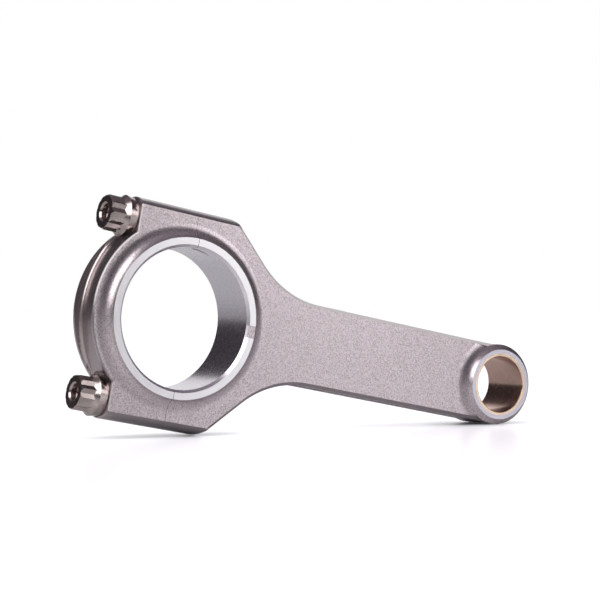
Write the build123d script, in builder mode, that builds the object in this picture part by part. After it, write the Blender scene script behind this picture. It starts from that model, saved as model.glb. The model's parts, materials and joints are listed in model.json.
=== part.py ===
from build123d import *
from math import asin, atan2, cos, degrees, hypot, radians, sin, sqrt
import os

os.makedirs("parts", exist_ok=True)

# Two-piece connecting rod with a bolted big-end cap.  Sizes in millimetres.
# The rod axis runs from the big end to the small end, the bores run front to back, and the two
# cap bolts run along the rod axis, one above and one below the big-end bore.

# Bores
centre_distance = 144.0  # big-end bore axis to small-end bore axis
big_bore_radius = 25.5  # housing for the crankpin bearing shells
big_bore_chamfer = 1.0
pin_bore_radius = 11.0  # piston pin, in the bush
bush_wall = 1.1
bush_bore_chamfer = 0.2

# Flat faces, and the thrust rings raised above them round the bores
body_thickness = 16.0
big_ring_width = 22.8  # front thrust face to back thrust face
big_ring_radius = 29.0
big_ring_fillet = 5.5
eye_ring_width = 22.0
eye_ring_radius = 13.66
eye_ring_fillet = 6.5

# Shoulders, beam and eye
shoulder_wall = 4.8  # bolt axis to the side, on the flat faces
shoulder_length = 19.0  # parting face to the shoulder's slope, at that half width
shoulder_angle = 43.6  # slope of the shoulder to the rod axis, degrees
crown_radius = 12.3  # rounded outer sides of the big end, round the bolts
throat_radius = 38.0
beam_half_width = 15.3
eye_radius = 15.7
eye_blend_radius = 20.0
face_bevel = 1.2

# Recess along each edge of the beam, which leaves an H section
beam_web = 11.0
channel_width = 9.0
channel_past_throat = -3.0  # where it starts, from the end of the throat's arc
channel_before_eye = 9.0  # where it ends, from the start of the eye's blend
channel_runout_radius = 14.0
channel_fillet = 2.0

# Cap
cap_radius = 35.35
cap_bevel = 0.45
rim_wall = 1.6
rim_depth = 2.85  # at the middle of the cap
rim_fillet = 1.5

# Cap bolts
bolt_spacing = 64.5
bolt_radius = 4.7625  # 3/8 in
bolt_seat = 23.0  # parting face to the seat under the head
bolt_reach = 14.0  # parting face to the bolt's tip
bolt_tip_chamfer = 0.8
thread_length = 7.4
thread_pitch = 1.058  # 24 threads to the inch
thread_depth = 0.6
tapped_depth = 15.3
spotface_radius = 8.8

# Twelve-point heads
head_height = 10.5
flange_radius = 7.5  # at its outer edge
flange_height = 3.5
washer_radius = 7.0  # at the seat
washer_chamfer = 0.3
neck_height = 1.9  # cone that the points run down into
neck_radius = 5.6
point_radius = 6.4  # corner of each of the twelve points
point_chamfer = 0.45
lower_bolt_turn = 15.0  # tightened to a different angle from the upper one, degrees
recess_radius = 3.65
recess_depth = 2.6
recess_chamfer = 0.6

# Hollow dowels that line up the cap, round the bolts
dowel_radius = 5.5
dowel_length = 12.0
dowel_chamfer = 0.3

# Clearances
bolt_to_thread = 0.06
bolt_to_hole = 0.14
dowel_to_cap = 0.03
dowel_end_gap = 0.1

# Small cuts in the big end
tang_cutter_radius = 13.8
tang_depth = 1.2
tang_width = 2.5
tang_offset = 5.7  # middle of the rod to the slot's near wall
oil_notch_width = 4.5
oil_notch_depth = 0.9

# Derived sizes
face = body_thickness / 2
bolt_offset = bolt_spacing / 2
shoulder_half_width = bolt_offset + shoulder_wall
hole_radius = bolt_radius + bolt_to_hole
bush_radius = pin_bore_radius + bush_wall
big_ring_face = big_ring_width / 2
eye_ring_face = eye_ring_width / 2
big_ring_rise = big_ring_face - face
eye_ring_rise = eye_ring_face - face
big_ring_reach = big_ring_radius + sqrt(big_ring_fillet**2 - (big_ring_fillet - big_ring_rise) ** 2)
eye_ring_reach = eye_ring_radius + sqrt(eye_ring_fillet**2 - (eye_ring_fillet - eye_ring_rise) ** 2)
eye_rim = face + eye_ring_fillet - sqrt(eye_ring_fillet**2 - (eye_ring_reach - eye_radius) ** 2)
crown_centre = shoulder_half_width - sqrt(crown_radius**2 - face**2)
crown_reach = crown_centre + crown_radius
slope_run = cos(radians(shoulder_angle)) / sin(radians(shoulder_angle))
foot = shoulder_length - (crown_reach - shoulder_half_width) * slope_run  # corner on the crown

# The rod stands on the lower shoulder's corner and on the small-end eye, which sets its slope
stance = hypot(centre_distance - foot, crown_reach)
lean = atan2(crown_reach, centre_distance - foot) - asin(eye_radius / stance)
flat = Plane(origin=(0, 0, 0), x_dir=(cos(lean), 0, -sin(lean)), z_dir=(0, -1, 0))
parting = Plane(origin=(0, 0, 0), x_dir=(0, 1, 0), z_dir=(cos(lean), 0, -sin(lean)))
eye_section = parting.offset(centre_distance)
middle = Plane(origin=(0, 0, 0), z_dir=(sin(lean), 0, cos(lean)))
big_axis = Axis((0, 0, 0), (0, 1, 0))
eye_axis = Axis(eye_section.origin, (0, 1, 0))


def place(shape):
    """Centre of a shape: along the rod, across it, and forward of the middle."""
    return flat.to_local_coords(shape.center())


# Crowned sides: the section of the big end across the bolts
with BuildSketch(parting) as crown:
    Rectangle(2 * big_ring_width, 2 * crown_centre)
    with Locations((0, crown_centre), (0, -crown_centre)):
        Circle(crown_radius)

# Section of the big-end ring, on one side of the bore, with its fillets down to the flat faces
with BuildSketch(parting) as big_ring:
    with BuildLine():
        Polyline(
            (0, 0),
            (big_ring_face, 0),
            (big_ring_face, big_ring_radius),
        )
        RadiusArc((big_ring_face, big_ring_radius), (face, big_ring_reach), big_ring_fillet)
        Line((face, big_ring_reach), (0, big_ring_reach))
        mirror(about=Plane.YZ)
    make_face()

# Section of the big-end bore, with its chamfers
with BuildSketch(parting) as big_bore:
    with BuildLine():
        Polyline(
            (0, 0),
            (big_ring_width, 0),
            (big_ring_width, big_bore_radius + big_bore_chamfer),
            (big_ring_face, big_bore_radius + big_bore_chamfer),
            (big_ring_face - big_bore_chamfer, big_bore_radius),
            (0, big_bore_radius),
        )
        mirror(about=Plane.YZ)
    make_face()

# Outline of the rod half, seen from the front
throat_height = beam_half_width + throat_radius
throat_drop = throat_radius * cos(radians(shoulder_angle))
throat_back = throat_radius * sin(radians(shoulder_angle))
throat_start = shoulder_length + (shoulder_half_width - throat_height + throat_drop) * slope_run
throat_centre = throat_start + throat_back
blend_height = beam_half_width + eye_blend_radius
blend_centre = centre_distance - sqrt((eye_radius + eye_blend_radius) ** 2 - blend_height**2)
blend_angle = degrees(atan2(blend_height, blend_centre - centre_distance))
recess_start = throat_centre + channel_past_throat
recess_end = blend_centre - channel_before_eye

with BuildSketch(flat) as rod_outline:
    with BuildLine():
        Polyline(
            (0, 0),
            (0, crown_reach),
            (foot, crown_reach),
            (throat_start, throat_height - throat_drop),
        )
        CenterArc((throat_centre, throat_height), throat_radius, 270, -shoulder_angle)
        Line((throat_centre, beam_half_width), (blend_centre, beam_half_width))
        CenterArc((blend_centre, blend_height), eye_blend_radius, 270, blend_angle - 90)
        CenterArc((centre_distance, 0), eye_radius, 0, blend_angle)
        mirror(about=Plane.XZ)
    make_face()

with BuildPart() as rod:
    # Blank, a little thicker than the faces so that the eye's fillet can rise above them
    extrude(rod_outline.sketch, amount=eye_rim, both=True)
    rims = rod.edges().filter_by(lambda e: abs(place(e).Z) > eye_rim - 0.01 and place(e).X > foot)
    chamfer(rims, length=face_bevel + eye_rim - face)

    # Recess along both edges of the beam
    with BuildSketch(flat) as beam_recess:
        with BuildLine():
            Polyline(
                (recess_start, throat_height),
                (recess_start, beam_web / 2),
                (recess_end, beam_web / 2),
                (recess_end, throat_height),
                close=True,
            )
        make_face()
        floor_corners = beam_recess.vertices().group_by(Axis.Y)[0]
        fillet(floor_corners, radius=channel_runout_radius)
        mirror(about=Plane.XZ)
    extrude(amount=channel_width / 2, both=True, mode=Mode.SUBTRACT)
    recess_corners = rod.edges(Select.LAST).filter_by(
        lambda e: abs(place(e).Y) < beam_half_width - 0.5
        and abs(abs(place(e).Z) - channel_width / 2) < 0.01
    )
    fillet(recess_corners, radius=channel_fillet)

    extrude(crown.sketch, amount=2 * centre_distance, both=True, mode=Mode.INTERSECT)

    with BuildSketch(flat):
        with Locations((centre_distance, 0)):
            Circle(eye_radius)
    extrude(amount=eye_ring_face, both=True)

    # Flat faces, and the long fillet that rises from them to the eye's ring
    with BuildSketch(eye_section):
        with BuildLine():
            Polyline(
                (2 * eye_ring_face, 0),
                (eye_ring_face, 0),
                (eye_ring_face, eye_ring_radius),
            )
            RadiusArc((eye_ring_face, eye_ring_radius), (face, eye_ring_reach), eye_ring_fillet)
            Polyline(
                (face, eye_ring_reach),
                (face, 2 * centre_distance),
                (2 * eye_ring_face, 2 * centre_distance),
                (2 * eye_ring_face, 0),
            )
        make_face()
        mirror(about=Plane.YZ)
    revolve(axis=eye_axis, mode=Mode.SUBTRACT)

    # Half of the big-end ring
    revolve(big_ring.sketch, axis=big_axis, revolution_arc=180)

    # Bores
    revolve(big_bore.sketch, axis=big_axis, mode=Mode.SUBTRACT)
    with BuildSketch(flat):
        with Locations((centre_distance, 0)):
            Circle(bush_radius)
    extrude(amount=2 * big_ring_width, both=True, mode=Mode.SUBTRACT)

    # Tapped holes, and the pockets that hold the dowels
    with BuildSketch(parting):
        with Locations((0, bolt_offset), (0, -bolt_offset)):
            Circle(bolt_radius + bolt_to_thread)
    extrude(amount=tapped_depth, mode=Mode.SUBTRACT)
    with BuildSketch(parting):
        with Locations((0, bolt_offset), (0, -bolt_offset)):
            Circle(dowel_radius)
    extrude(amount=dowel_length / 2, mode=Mode.SUBTRACT)

    # Slot for the bearing shell's tang, sunk by a cutter centred on the parting face
    tang_centre = big_bore_radius + tang_depth - tang_cutter_radius
    with BuildSketch(flat.offset(tang_offset)):
        with Locations((0, tang_centre)):
            Circle(tang_cutter_radius)
    extrude(amount=tang_width, mode=Mode.SUBTRACT)

    # Oil notch across the front thrust ring
    with BuildSketch(flat.offset(big_ring_face)):
        with Locations((big_ring_radius, 0)):
            Rectangle(2 * (big_ring_radius - big_bore_radius) + 2 * big_bore_chamfer, oil_notch_width)
    extrude(amount=-oil_notch_depth, mode=Mode.SUBTRACT)

# Outline of the cap, seen from the front
seat_inner = sqrt(cap_radius**2 - bolt_seat**2)
rim_floor = cap_radius - rim_depth

with BuildSketch(flat) as cap_outline:
    with BuildLine():
        Polyline(
            (0, 0),
            (0, crown_reach),
            (-bolt_seat, crown_reach),
            (-bolt_seat, seat_inner),
        )
        mirror(about=Plane.XZ)
        ThreePointArc((-bolt_seat, seat_inner), (-cap_radius, 0), (-bolt_seat, -seat_inner))
    make_face()

with BuildPart() as cap:
    extrude(cap_outline.sketch, amount=face, both=True)
    extrude(crown.sketch, amount=2 * cap_radius, both=True, mode=Mode.INTERSECT)
    rims = cap.edges().filter_by(
        lambda e: place(e).X < -bolt_seat + 0.01
        and (abs(place(e).Z) > face - 0.01 or abs(place(e).Y) > shoulder_half_width)
    )
    chamfer(rims, length=cap_bevel)

    # Half of the big-end ring
    revolve(big_ring.sketch, axis=big_axis, revolution_arc=-180)
    revolve(big_bore.sketch, axis=big_axis, mode=Mode.SUBTRACT)

    # Recess round the cap's rim, between its two walls
    with BuildSketch(flat):
        with BuildLine():
            ThreePointArc((-bolt_seat, seat_inner), (-rim_floor, 0), (-bolt_seat, -seat_inner))
            Polyline(
                (-bolt_seat, -seat_inner),
                (-2 * cap_radius, -seat_inner),
                (-2 * cap_radius, seat_inner),
                (-bolt_seat, seat_inner),
            )
        make_face()
    extrude(amount=face - rim_wall, both=True, mode=Mode.SUBTRACT)
    recess_corners = cap.edges(Select.LAST).filter_by(lambda e: abs(place(e).X + rim_floor) < 0.01)
    fillet(recess_corners, radius=rim_fillet)

    # Seats for the bolt heads, bolt holes, and the pockets that slide over the dowels
    with BuildSketch(parting.offset(-bolt_seat)):
        with Locations((0, bolt_offset), (0, -bolt_offset)):
            Circle(spotface_radius)
    extrude(amount=-cap_radius, mode=Mode.SUBTRACT)
    with BuildSketch(parting):
        with Locations((0, bolt_offset), (0, -bolt_offset)):
            Circle(hole_radius)
    extrude(amount=-cap_radius, mode=Mode.SUBTRACT)
    with BuildSketch(parting):
        with Locations((0, bolt_offset), (0, -bolt_offset)):
            Circle(dowel_radius + dowel_to_cap)
    extrude(amount=-(dowel_length / 2 + dowel_end_gap), mode=Mode.SUBTRACT)

# Bush pressed into the small-end eye
with BuildPart() as bush:
    with BuildSketch(flat):
        with Locations((centre_distance, 0)):
            Circle(bush_radius)
            Circle(pin_bore_radius, mode=Mode.SUBTRACT)
    extrude(amount=eye_ring_face, both=True)
    mouths = bush.edges().filter_by(GeomType.CIRCLE).filter_by(
        lambda e: abs(e.radius - pin_bore_radius) < 0.01
    )
    chamfer(mouths, length=bush_bore_chamfer)

# Hollow dowel, half in the rod and half in the cap
with BuildPart() as dowel_upper:
    with BuildSketch(parting):
        with Locations((0, bolt_offset)):
            Circle(dowel_radius)
            Circle(hole_radius, mode=Mode.SUBTRACT)
    extrude(amount=dowel_length / 2, both=True)
    ends = dowel_upper.edges().filter_by(GeomType.CIRCLE).filter_by(
        lambda e: abs(e.radius - dowel_radius) < 0.01
    )
    chamfer(ends, length=dowel_chamfer)

with BuildPart() as dowel_lower:
    mirror(dowel_upper.part, about=middle)

# Cap bolt: turned shank and flange, twelve points, ring grooves for the thread
bolt_axis = Axis(parting.from_local_coords((0, bolt_offset, 0)), parting.z_dir)
flange_top = -bolt_seat - flange_height
head_top = -bolt_seat - head_height
thread_count = int(thread_length / thread_pitch)
first_groove = bolt_reach - bolt_tip_chamfer - thread_pitch / 2

with BuildPart() as bolt_upper:
    with BuildSketch(flat):
        with BuildLine():
            Polyline(
                (flange_top - neck_height, bolt_offset),
                (flange_top - neck_height, bolt_offset + neck_radius),
                (flange_top, bolt_offset + flange_radius),
                (-bolt_seat - washer_chamfer, bolt_offset + washer_radius),
                (-bolt_seat, bolt_offset + washer_radius - washer_chamfer),
                (-bolt_seat, bolt_offset + bolt_radius),
                (bolt_reach - bolt_tip_chamfer, bolt_offset + bolt_radius),
                (bolt_reach, bolt_offset + bolt_radius - bolt_tip_chamfer),
                (bolt_reach, bolt_offset),
                close=True,
            )
        make_face()
    revolve(axis=bolt_axis)
    with BuildSketch(parting.offset(flange_top)):
        with Locations((0, bolt_offset)):
            RegularPolygon(point_radius, 6)
            RegularPolygon(point_radius, 6, rotation=30)
    extrude(amount=flange_height - head_height)
    with BuildSketch(flat):
        with Locations((head_top, bolt_offset + point_radius)):
            Polygon((0, -point_chamfer), (2 * point_chamfer, 0), (0, 0), align=None)
        with Locations((head_top, bolt_offset)):
            Polygon(
                (0, 0),
                (0, recess_radius),
                (recess_chamfer, recess_radius - recess_chamfer),
                (recess_depth, recess_radius - recess_chamfer),
                (recess_depth + recess_chamfer, 0),
                align=None,
            )
        with Locations(
            [(first_groove - i * thread_pitch, bolt_offset + bolt_radius) for i in range(thread_count)]
        ):
            Polygon((-thread_pitch / 2, 0), (0, -thread_depth), (thread_pitch / 2, 0), align=None)
    revolve(axis=bolt_axis, mode=Mode.SUBTRACT)

with BuildPart() as bolt_lower:
    mirror(bolt_upper.part.rotate(bolt_axis, lower_bolt_turn), about=middle)

rod.part.label = "rod"
export_step(rod.part, "parts/rod.step")
cap.part.label = "cap"
export_step(cap.part, "parts/cap.step")
bush.part.label = "bush"
export_step(bush.part, "parts/bush.step")
dowel_upper.part.label = "dowel_upper"
export_step(dowel_upper.part, "parts/dowel_upper.step")
dowel_lower.part.label = "dowel_lower"
export_step(dowel_lower.part, "parts/dowel_lower.step")
bolt_upper.part.label = "bolt_upper"
export_step(bolt_upper.part, "parts/bolt_upper.step")
bolt_lower.part.label = "bolt_lower"
export_step(bolt_lower.part, "parts/bolt_lower.step")
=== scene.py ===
import json
import math

import bmesh
import bpy
from mathutils import Matrix, Vector


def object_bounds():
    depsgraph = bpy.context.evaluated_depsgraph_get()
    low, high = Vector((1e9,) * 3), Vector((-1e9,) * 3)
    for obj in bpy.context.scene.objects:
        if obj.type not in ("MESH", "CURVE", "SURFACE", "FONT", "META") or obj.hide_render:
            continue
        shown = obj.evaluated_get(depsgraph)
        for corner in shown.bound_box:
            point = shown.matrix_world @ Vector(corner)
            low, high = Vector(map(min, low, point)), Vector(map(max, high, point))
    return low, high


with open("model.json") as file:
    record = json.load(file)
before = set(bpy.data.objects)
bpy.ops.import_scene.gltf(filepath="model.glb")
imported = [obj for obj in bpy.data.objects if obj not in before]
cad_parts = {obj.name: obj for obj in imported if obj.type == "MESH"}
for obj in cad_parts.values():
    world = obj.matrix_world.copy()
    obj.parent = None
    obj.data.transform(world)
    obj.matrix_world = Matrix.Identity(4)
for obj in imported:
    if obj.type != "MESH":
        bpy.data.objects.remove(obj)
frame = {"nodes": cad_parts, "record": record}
cad_low, cad_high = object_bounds()

MM = 0.001

# The two bores carry the frame: every finish is placed from their centres, and both run through along Y.
mounts = {m["name"]: m for m in frame["record"]["mounts"]}
big_centre = Vector(mounts["big_end_bore"]["pos_m"])
eye_centre = Vector(mounts["small_end_bore"]["pos_m"])
big_bore = mounts["big_end_bore"]["dims"]["r_mm"] * MM
eye_bore = mounts["small_end_bore"]["dims"]["r_mm"] * MM
through = Vector((0, 1, 0))
along = (eye_centre - big_centre).normalized()
across = along.cross(through)

# Where the finishes begin and end. Radii are from each end's own axis, depths from the plane midway
# between front and back, heights from the rod's axis, and reaches along it from the big end. A mouth is
# how far a bore's own finish goes past the bore's radius.
RING_RADIUS = 29.0 * MM
RING_DEPTH = 11.3 * MM
EYE_RING_RADIUS = 13.66 * MM
EYE_RING_DEPTH = 10.9 * MM
BIG_MOUTH = 1.1 * MM
EYE_MOUTH = 1.3 * MM
BEVEL_DEPTH = 6.25 * MM
FLAT_DEPTH = 8.04 * MM
FLAT_HEIGHT = 36.6 * MM
CROWN_HEIGHT = 37.0 * MM
CAP_RIM_REACH = -20.0 * MM
CAP_RIM_RADIUS = 31.25 * MM
CAP_RIM_DEPTH = 6.6 * MM
MID_BEAM = 95.0 * MM
BUSH_FACE_DEPTH = 10.81 * MM
TOOL_PITCH = 0.12 * MM

# Colours, as linear red, green, blue and alpha.
SKIN_DULL = (0.688, 0.606, 0.639, 1)
SKIN_CLEAR = (0.700, 0.618, 0.652, 1)
DIMPLE = (0.36, 0.315, 0.332, 1)
SPECK = (0.270, 0.232, 0.248, 1)
# The light edge colour is wear plus a painted highlight on upward bevels; the dark edge colour is painted
# shade on downward bevels.
WORN_AND_LIT_EDGE = (0.880, 0.830, 0.850, 1)
SHADED_LOWER_EDGE = (0.120, 0.100, 0.108, 1)
# The crown colour and the cap rim colour are painted shade, darker than the metal itself.
SHADED_CROWN = (0.370, 0.328, 0.350, 1)
SHADED_CAP_RIM = (0.480, 0.418, 0.425, 1)
MACHINED = ((0.690, 0.652, 0.710, 1), (0.780, 0.740, 0.800, 1))
THRUST_FACE = ((0.860, 0.838, 0.870, 1), (0.930, 0.908, 0.940, 1))
EYE_FACE = (0.640, 0.605, 0.690, 1)
SEAM = (0.060, 0.050, 0.055, 1)
BRONZE = ((0.620, 0.415, 0.350, 1), (0.700, 0.480, 0.405, 1))
TARNISH = (0.400, 0.300, 0.240, 1)
BRONZE_FACE = (0.860, 0.660, 0.500, 1)
OILED_STEEL = ((0.390, 0.328, 0.318, 1), (0.480, 0.412, 0.396, 1))
RUBBED_STEEL = (0.560, 0.510, 0.495, 1)
GROUND_STEEL = ((0.520, 0.510, 0.515, 1), (0.600, 0.590, 0.600, 1))


# --------------------------------------------------------------- node trees
class Nodes:
    """The node tree of a material or a world, emptied, with short calls for the nodes used here."""

    # A mix node keeps its factor, its two inputs and its result in other places for each kind of data.
    MIX_PLACES = {"FLOAT": (0, 2, 3, 0), "RGBA": (0, 6, 7, 2)}

    def __init__(self, owner):
        owner.use_nodes = True
        self.tree = owner.node_tree
        self.tree.nodes.clear()

    def add(self, kind, inputs=(), **settings):
        """A new node. Its inputs, by name or number, are constants or links."""
        node = self.tree.nodes.new(kind)
        for key, value in settings.items():
            setattr(node, key, value)
        for key, value in dict(inputs).items():
            self.feed(node.inputs[key], value)
        return node

    def feed(self, socket, value):
        if isinstance(value, bpy.types.NodeSocket):
            self.tree.links.new(value, socket)
        else:
            socket.default_value = value

    def math(self, operation, *values):
        return self.add("ShaderNodeMath", enumerate(values), operation=operation).outputs[0]

    def mix(self, amount, a, b, kind="FLOAT"):
        factor, first, second, result = self.MIX_PLACES[kind]
        node = self.add("ShaderNodeMix", data_type=kind)
        self.feed(node.inputs[factor], amount)
        self.feed(node.inputs[first], a)
        self.feed(node.inputs[second], b)
        return node.outputs[result]

    def blend(self, amount, a, b):
        """A mix of two colours."""
        return self.mix(amount, a, b, kind="RGBA")

    def background_share(self, in_metal):
        """1 for a ray from the camera, and a chosen share for one that metal or glass sends on."""
        path = self.add("ShaderNodeLightPath")
        share = path.outputs["Is Camera Ray"]
        for kind in ("Is Glossy Ray", "Is Transmission Ray"):
            share = self.math("MULTIPLY_ADD", path.outputs[kind], in_metal, share)
        return share


class Finish(Nodes):
    """A metal finish, placed in the frame's own coordinates."""

    def __init__(self, name):
        self.material = bpy.data.materials.new(name)
        super().__init__(self.material)
        output = self.add("ShaderNodeOutputMaterial")
        self.shader = self.add("ShaderNodeBsdfPrincipled")
        self.feed(output.inputs["Surface"], self.shader.outputs[0])
        self.place = self.add("ShaderNodeTexCoord").outputs["Object"]
        turned = self.add(
            "ShaderNodeVectorTransform", vector_type="NORMAL", convert_from="WORLD", convert_to="OBJECT"
        )
        self.feed(turned.inputs[0], self.add("ShaderNodeNewGeometry").outputs["True Normal"])
        self.facing = turned.outputs[0]

    def vector(self, operation, *values):
        return self.add("ShaderNodeVectorMath", enumerate(values), operation=operation)

    def dot(self, point, direction):
        return self.vector("DOT_PRODUCT", point, tuple(direction)).outputs["Value"]

    def absolute_dot(self, point, direction):
        return self.math("ABSOLUTE", self.dot(point, direction))

    def radius(self, centre):
        """Distance from the axis that runs through a centre, along Y."""
        offset = self.vector("SUBTRACT", self.place, tuple(centre)).outputs["Vector"]
        flat = self.vector("MULTIPLY", offset, (1.0, 0.0, 1.0)).outputs["Vector"]
        return self.vector("LENGTH", flat).outputs["Value"]

    def ramp(self, value, low, high, start=0.0, end=1.0):
        """A smooth step from a start value at the low limit to an end value at the high one."""
        limits = enumerate((value, low, high, start, end))
        return self.add("ShaderNodeMapRange", limits, interpolation_type="SMOOTHSTEP").outputs[0]

    def beyond(self, value, edge, soft):
        """A mask: 0 under an edge, 1 over it."""
        return self.ramp(value, edge - soft, edge + soft)

    def inside(self, value, edge, soft=0.15 * MM):
        """A mask: 1 under an edge, 0 over it."""
        return self.ramp(value, edge - soft, edge + soft, 1.0, 0.0)

    def product(self, first, *others):
        """Masks and values multiplied: 1 only where every mask is 1."""
        for other in others:
            first = self.math("MULTIPLY", first, other)
        return first

    def union(self, first, *others):
        """1 where any mask is 1."""
        for other in others:
            first = self.math("MAXIMUM", first, other)
        return first

    def outside(self, mask):
        return self.math("SUBTRACT", 1.0, mask)

    def noise(self, point, scale, detail=3.0, roughness=0.5):
        inputs = {"Vector": point, "Scale": scale, "Detail": detail, "Roughness": roughness}
        return self.add("ShaderNodeTexNoise", inputs).outputs["Fac"]

    def streaks(self, scales, detail=3.0):
        """Noise with its own scale along each axis."""
        return self.noise(self.vector("MULTIPLY", self.place, scales).outputs["Vector"], 1.0, detail=detail)

    def turning(self, centre):
        """Lines round an axis, as a lathe or a grinder leaves them, wandering a little."""
        rings = self.math("DIVIDE", self.radius(centre), TOOL_PITCH)
        seed = self.add("ShaderNodeCombineXYZ", {0: rings})
        return self.noise(seed.outputs[0], 1.0, detail=2.0, roughness=0.7)

    def bump(self, *layers):
        """Layers of (height, distance in metres), each on the one before."""
        normal = None
        for height, distance in layers:
            node = self.add("ShaderNodeBump", {"Strength": 1.0, "Distance": distance, "Height": height})
            if normal is not None:
                self.feed(node.inputs["Normal"], normal)
            normal = node.outputs["Normal"]
        self.feed(self.shader.inputs["Normal"], normal)

    def done(self, colour, roughness, metallic=1.0):
        self.feed(self.shader.inputs["Base Color"], colour)
        self.feed(self.shader.inputs["Roughness"], roughness)
        self.feed(self.shader.inputs["Metallic"], metallic)
        return self.material


# --------------------------------------------------------------- finishes
def peened_skin(g):
    """Shot-peened skin: fine dimples, a slow mottle and small darker specks. Gives its colour and grain."""
    grain = g.noise(g.place, scale=2800.0, detail=1.0, roughness=0.6)
    mottle = g.noise(g.place, scale=300.0, detail=4.0, roughness=0.65)
    speck = g.ramp(g.noise(g.place, scale=2100.0, detail=1.0, roughness=0.6), 0.54, 0.68)
    skin = g.blend(g.ramp(mottle, 0.35, 0.65), SKIN_DULL, SKIN_CLEAR)
    skin = g.blend(g.ramp(grain, 0.34, 0.60), g.blend(0.90, skin, DIMPLE), skin)
    skin = g.blend(g.product(speck, 0.28), skin, SPECK)
    return skin, grain


def broken_edges(g, depth, height, frontal):
    """The narrow bevels round the front and back flats: those that face up, and those that face down."""
    bevel = g.product(
        g.ramp(frontal, 0.55, 0.62),
        g.ramp(frontal, 0.80, 0.90, 1.0, 0.0),
        g.beyond(depth, BEVEL_DEPTH, 0.25 * MM),
        g.inside(depth, FLAT_DEPTH, 0.02 * MM),
        g.inside(height, FLAT_HEIGHT, 0.2 * MM),
    )
    # Up-facing bevels get the painted highlight, down-facing ones the painted shade.
    upward = g.ramp(g.dot(g.facing, across), -0.1, 0.1)
    return g.product(bevel, upward), g.product(bevel, g.outside(upward))


def forged_steel():
    """The forging of rod and cap: peened, with turned, honed and ground surfaces."""
    g = Finish("forged_steel_finish")
    depth = g.absolute_dot(g.place, through)
    height = g.absolute_dot(g.place, across)
    frontal = g.absolute_dot(g.facing, through)
    reach = g.dot(g.place, along)
    from_split = g.math("ABSOLUTE", reach)
    big_radius = g.radius(big_centre)
    eye_radius = g.radius(eye_centre)

    # Upper broken edges are worn and scatter the light more; their lighter colour is partly wear and partly
    # a painted highlight. Those below are painted dark as painted shade.
    skin, grain = peened_skin(g)
    worn_and_lit_edges, shaded_lower_edges = broken_edges(g, depth, height, frontal)
    skin = g.blend(worn_and_lit_edges, skin, WORN_AND_LIT_EDGE)
    skin = g.blend(g.product(shaded_lower_edges, 0.55), skin, SHADED_LOWER_EDGE)

    # The turned crown of the big end is smoother than the peened skin, and so is the recess
    # round the cap's rim. Both are coloured darker as painted shade, standing for the dark they reflect.
    crown = g.product(g.beyond(height, CROWN_HEIGHT, 0.1 * MM), g.ramp(frontal, 0.66, 0.70, 1.0, 0.0))
    cap_rim = g.product(
        g.inside(reach, CAP_RIM_REACH, 1.0 * MM),
        g.beyond(big_radius, CAP_RIM_RADIUS, 0.25 * MM),
        g.inside(depth, CAP_RIM_DEPTH),
    )
    smooth = g.union(crown, cap_rim)

    # Turned and ground metal: ring faces, bores with their mouths, and parting faces.
    big_face = g.product(g.inside(big_radius, RING_RADIUS), g.beyond(depth, RING_DEPTH, 0.05 * MM))
    eye_face = g.product(g.inside(eye_radius, EYE_RING_RADIUS), g.beyond(depth, EYE_RING_DEPTH, 0.05 * MM))
    thrust = g.union(big_face, eye_face)
    big_hole = g.inside(big_radius, big_bore + BIG_MOUTH)
    eye_hole = g.inside(eye_radius, eye_bore + EYE_MOUTH)
    square_on = g.ramp(g.absolute_dot(g.facing, along), 0.90, 0.95)
    parting = g.product(g.inside(from_split, 0.02 * MM, 0.01 * MM), square_on)
    machined = g.union(big_face, big_hole, eye_face, eye_hole, parting)

    # The parting line shows as a hair of shadow where the cap meets the rod.
    seam = g.product(g.inside(from_split, 0.07 * MM, 0.05 * MM), g.outside(square_on))

    # Tool rings lie round each end's axis, and hone marks along the big bore's wall.
    rings = g.mix(g.beyond(reach, MID_BEAM, 5.0 * MM), g.turning(big_centre), g.turning(eye_centre))
    wall = g.product(big_hole, g.inside(big_radius, big_bore + 0.15 * MM, 0.05 * MM))
    lines = g.mix(wall, rings, g.streaks((700.0, 4600.0, 700.0)))
    line_shade = g.ramp(lines, 0.3, 0.7)

    colour = g.blend(machined, skin, g.blend(line_shade, *MACHINED))
    colour = g.blend(thrust, colour, g.blend(line_shade, *THRUST_FACE))
    # The crown and cap rim colours laid here are painted shade.
    for mask, shade in ((eye_face, EYE_FACE), (seam, SEAM), (crown, SHADED_CROWN), (cap_rim, SHADED_CAP_RIM)):
        colour = g.blend(mask, colour, shade)

    roughness = g.mix(machined, g.ramp(grain, 0.2, 0.8, 0.27, 0.36), g.ramp(lines, 0.2, 0.8, 0.22, 0.34))
    for mask, value in ((thrust, 0.33), (smooth, 0.25), (worn_and_lit_edges, 0.60)):
        roughness = g.mix(mask, roughness, value)

    peened = g.outside(g.union(machined, smooth))
    g.bump((g.product(grain, peened), 0.032 * MM), (g.product(lines, machined), 0.004 * MM))
    return g.done(colour, roughness, g.mix(worn_and_lit_edges, g.mix(machined, 0.94, 1.0), 0.15))


def bush_bronze():
    """Bored bronze, a little tarnished, with lighter end faces."""
    g = Finish("bush_bronze_finish")
    marks = g.streaks((700.0, 4200.0, 700.0))
    tarnish = g.ramp(g.noise(g.place, scale=160.0, roughness=0.6), 0.45, 0.75)
    colour = g.blend(g.ramp(marks, 0.3, 0.7), *BRONZE)
    colour = g.blend(g.product(tarnish, 0.4), colour, TARNISH)
    end_face = g.beyond(g.absolute_dot(g.place, through), BUSH_FACE_DEPTH, 0.03 * MM)
    colour = g.blend(end_face, colour, BRONZE_FACE)
    g.bump((marks, 0.006 * MM))
    return g.done(colour, g.ramp(marks, 0.2, 0.8, 0.16, 0.28))


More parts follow.
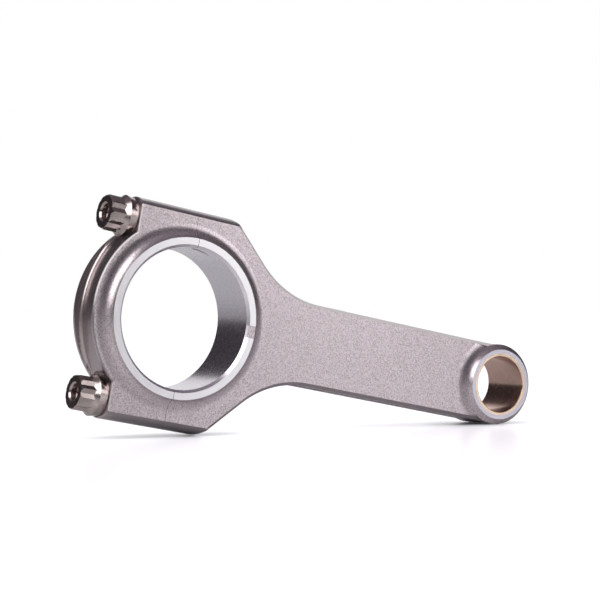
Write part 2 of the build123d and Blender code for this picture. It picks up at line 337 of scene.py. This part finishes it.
def bolt_steel():
    """Oiled dark steel, rubbed lighter in small spots."""
    g = Finish("bolt_steel_finish")
    drawn = g.noise(g.place, scale=1400.0, roughness=0.6)
    patch = g.noise(g.place, scale=220.0, roughness=0.6)
    colour = g.blend(g.ramp(patch, 0.35, 0.7), *OILED_STEEL)
    colour = g.blend(g.product(g.ramp(drawn, 0.5, 0.8), 0.25), colour, RUBBED_STEEL)
    g.bump((drawn, 0.003 * MM))
    return g.done(colour, g.ramp(drawn, 0.2, 0.8, 0.17, 0.26))


def dowel_steel():
    """Ground steel."""
    g = Finish("dowel_steel_finish")
    ground = g.streaks((3200.0, 900.0, 900.0), detail=2.0)
    g.bump((ground, 0.004 * MM))
    return g.done(g.blend(g.ramp(ground, 0.3, 0.7), *GROUND_STEEL), g.ramp(ground, 0.2, 0.8, 0.16, 0.26))


FINISHES = {
    forged_steel: ("rod", "cap"),
    bush_bronze: ("bush",),
    bolt_steel: ("bolt_upper", "bolt_lower"),
    dowel_steel: ("dowel_upper", "dowel_lower"),
}
for make, names in FINISHES.items():
    finish = make()
    for name in names:
        node = frame["nodes"][name]
        node.data.materials.clear()
        node.data.materials.append(finish)


# --------------------------------------------------------------- studio
middle = (cad_low + cad_high) / 2

# The board lies just under the object. Its own light fades within the contact reach of a surface above.
FLOOR_SIZE = 8.0
FLOOR_GAP = 0.0001
FLOOR_LIFT = 0.54
CONTACT_REACH = 0.012

# The dark room's window: its left and right azimuth and its top elevation, in degrees.
ROOM_RADIUS = 2.5
ROOM_WINDOW = (10, 60, 34)

# Angles in degrees, lens and sensor in millimetres.
CAMERA_PLACE = (-0.35487, -0.64370, 0.00953)
CAMERA_AZIMUTH = 180 + 32.49
CAMERA_ELEVATION = 0.223
CAMERA_ROLL = 0.135
CAMERA_LENS = 122.2
CAMERA_SENSOR = 36.0


def direction(azimuth, elevation):
    """Unit vector: azimuth 0 is behind the object, 90 to its right; elevation is above the horizon."""
    a, e = math.radians(azimuth), math.radians(elevation)
    return Vector((math.sin(a) * math.cos(e), math.cos(a) * math.cos(e), math.sin(e)))


def aimed(way, roll):
    """The turn that makes a lamp or camera look along a way, rolled about it in degrees."""
    turn = way.to_track_quat("-Z", "Y").to_matrix() @ Matrix.Rotation(math.radians(roll), 3, "Z")
    return turn.to_quaternion()


def place(name, data, location, turn=None):
    """A new object in the scene."""
    obj = bpy.data.objects.new(name, data)
    obj.location = location
    if turn is not None:
        obj.rotation_mode = "QUATERNION"
        obj.rotation_quaternion = turn
    bpy.context.scene.collection.objects.link(obj)
    return obj


def floor_material():
    """Pale glossy board: white to the camera, but it keeps the shadows and the faint mirror image."""
    material = bpy.data.materials.new("floor_board")
    n = Nodes(material)
    board = n.add(
        "ShaderNodeBsdfPrincipled", {"Base Color": (0.80, 0.80, 0.81, 1), "Roughness": 0.27, "IOR": 1.5}
    )
    # The lift fades under the object, so the shade at each contact stays.
    contact = n.add("ShaderNodeAmbientOcclusion", {"Distance": CONTACT_REACH}, samples=8)
    lift = n.math("MULTIPLY", n.background_share(0.2), FLOOR_LIFT)
    held = n.math("MULTIPLY", lift, contact.outputs["AO"])
    glow = n.add("ShaderNodeEmission", {"Color": (0.96, 0.93, 1.0, 1), "Strength": held})
    total = n.add("ShaderNodeAddShader", {0: board.outputs[0], 1: glow.outputs[0]})
    n.add("ShaderNodeOutputMaterial", {"Surface": total.outputs[0]})
    return material


def floor():
    """A wide level board just under the object."""
    material = floor_material()
    half = FLOOR_SIZE / 2
    level = cad_low.z - FLOOR_GAP
    signs = ((-1, 1), (1, 1), (1, -1), (-1, -1))
    corners = [(middle.x + sx * half, middle.y + sy * half, level) for sx, sy in signs]
    mesh = bpy.data.meshes.new("floor")
    mesh.from_pydata(corners, [], [(0, 1, 2, 3)])
    mesh.materials.append(material)
    obj = place("floor", mesh, (0, 0, 0))


def studio_world():
    """White behind the object for the camera and the metal, softer for the light it gives."""
    world = bpy.data.worlds.new("studio")
    n = Nodes(world)
    strength = n.add(
        "ShaderNodeMapRange", {"Value": n.background_share(1.0), "To Min": 0.25, "To Max": 1.0}
    )
    background = n.add("ShaderNodeBackground", {"Color": (1, 1, 1, 1), "Strength": strength.outputs[0]})
    n.add("ShaderNodeOutputWorld", {"Surface": background.outputs[0]})
    bpy.context.scene.world = world


def lamp(name, azimuth, elevation, distance, width, height, roll, radiance):
    """A softbox, rolled about its own axis. Its power comes from its cloth's brightness and area."""
    data = bpy.data.lights.new(name, "AREA")
    data.shape = "RECTANGLE"
    data.size = width
    data.size_y = height
    data.energy = radiance * math.pi * width * height
    way = direction(azimuth, elevation)
    place(name, data, middle + way * distance, aimed(-way, roll))


def room_material(radius):
    """Nearly black walls, with a lighter ceiling."""
    material = bpy.data.materials.new("dark_room_wall")
    n = Nodes(material)
    spot = n.add("ShaderNodeTexCoord").outputs["Object"]
    height = n.add("ShaderNodeSeparateXYZ", {0: spot}).outputs["Z"]
    limits = {"From Min": 0.55 * radius, "From Max": 0.90 * radius, "To Min": 0.045, "To Max": 0.26}
    ceiling = n.add("ShaderNodeMapRange", {"Value": height, **limits})
    wall = n.add("ShaderNodeEmission", {"Color": (1.0, 0.88, 1.0, 1), "Strength": ceiling.outputs[0]})
    n.add("ShaderNodeOutputMaterial", {"Surface": wall.outputs[0]})
    return material


def dark_room(radius, window):
    """The dim room round the set, seen only in reflections. It is open where the white backdrop stands."""
    left, right, top = window
    mesh = bmesh.new()
    bmesh.ops.create_uvsphere(mesh, u_segments=72, v_segments=36, radius=radius)
    cut = []
    for face in mesh.faces:
        way = face.calc_center_median().normalized()
        azimuth = math.degrees(math.atan2(way.x, way.y))
        elevation = math.degrees(math.asin(way.z))
        if elevation < -1 or (left < azimuth < right and elevation < top):
            cut.append(face)
    bmesh.ops.delete(mesh, geom=cut, context="FACES")
    data = bpy.data.meshes.new("dark_room")
    mesh.to_mesh(data)
    mesh.free()
    data.materials.append(room_material(radius))
    room = place("dark_room", data, middle)
    room.visible_camera = False
    room.visible_diffuse = False
    room.visible_shadow = False
    room.visible_transmission = False


def camera():
    """On the cap's side, level with the rod and with a long lens."""
    data = bpy.data.cameras.new("camera")
    data.sensor_width = CAMERA_SENSOR
    data.lens = CAMERA_LENS
    data.clip_start = 0.01
    data.clip_end = 50.0
    back = direction(CAMERA_AZIMUTH, CAMERA_ELEVATION)
    bpy.context.scene.camera = place("camera", data, CAMERA_PLACE, aimed(-back, CAMERA_ROLL))


floor()
studio_world()
lamp(
    "softbox_right",
    azimuth=142.3, elevation=15.3, distance=1.0, width=0.54, height=0.40, roll=46, radiance=2.35,
)
lamp(
    "softbox_left",
    azimuth=-115, elevation=39, distance=1.0, width=0.58, height=0.86, roll=0, radiance=3.6,
)
dark_room(ROOM_RADIUS, ROOM_WINDOW)
camera()
bpy.context.scene.view_settings.view_transform = "Standard"
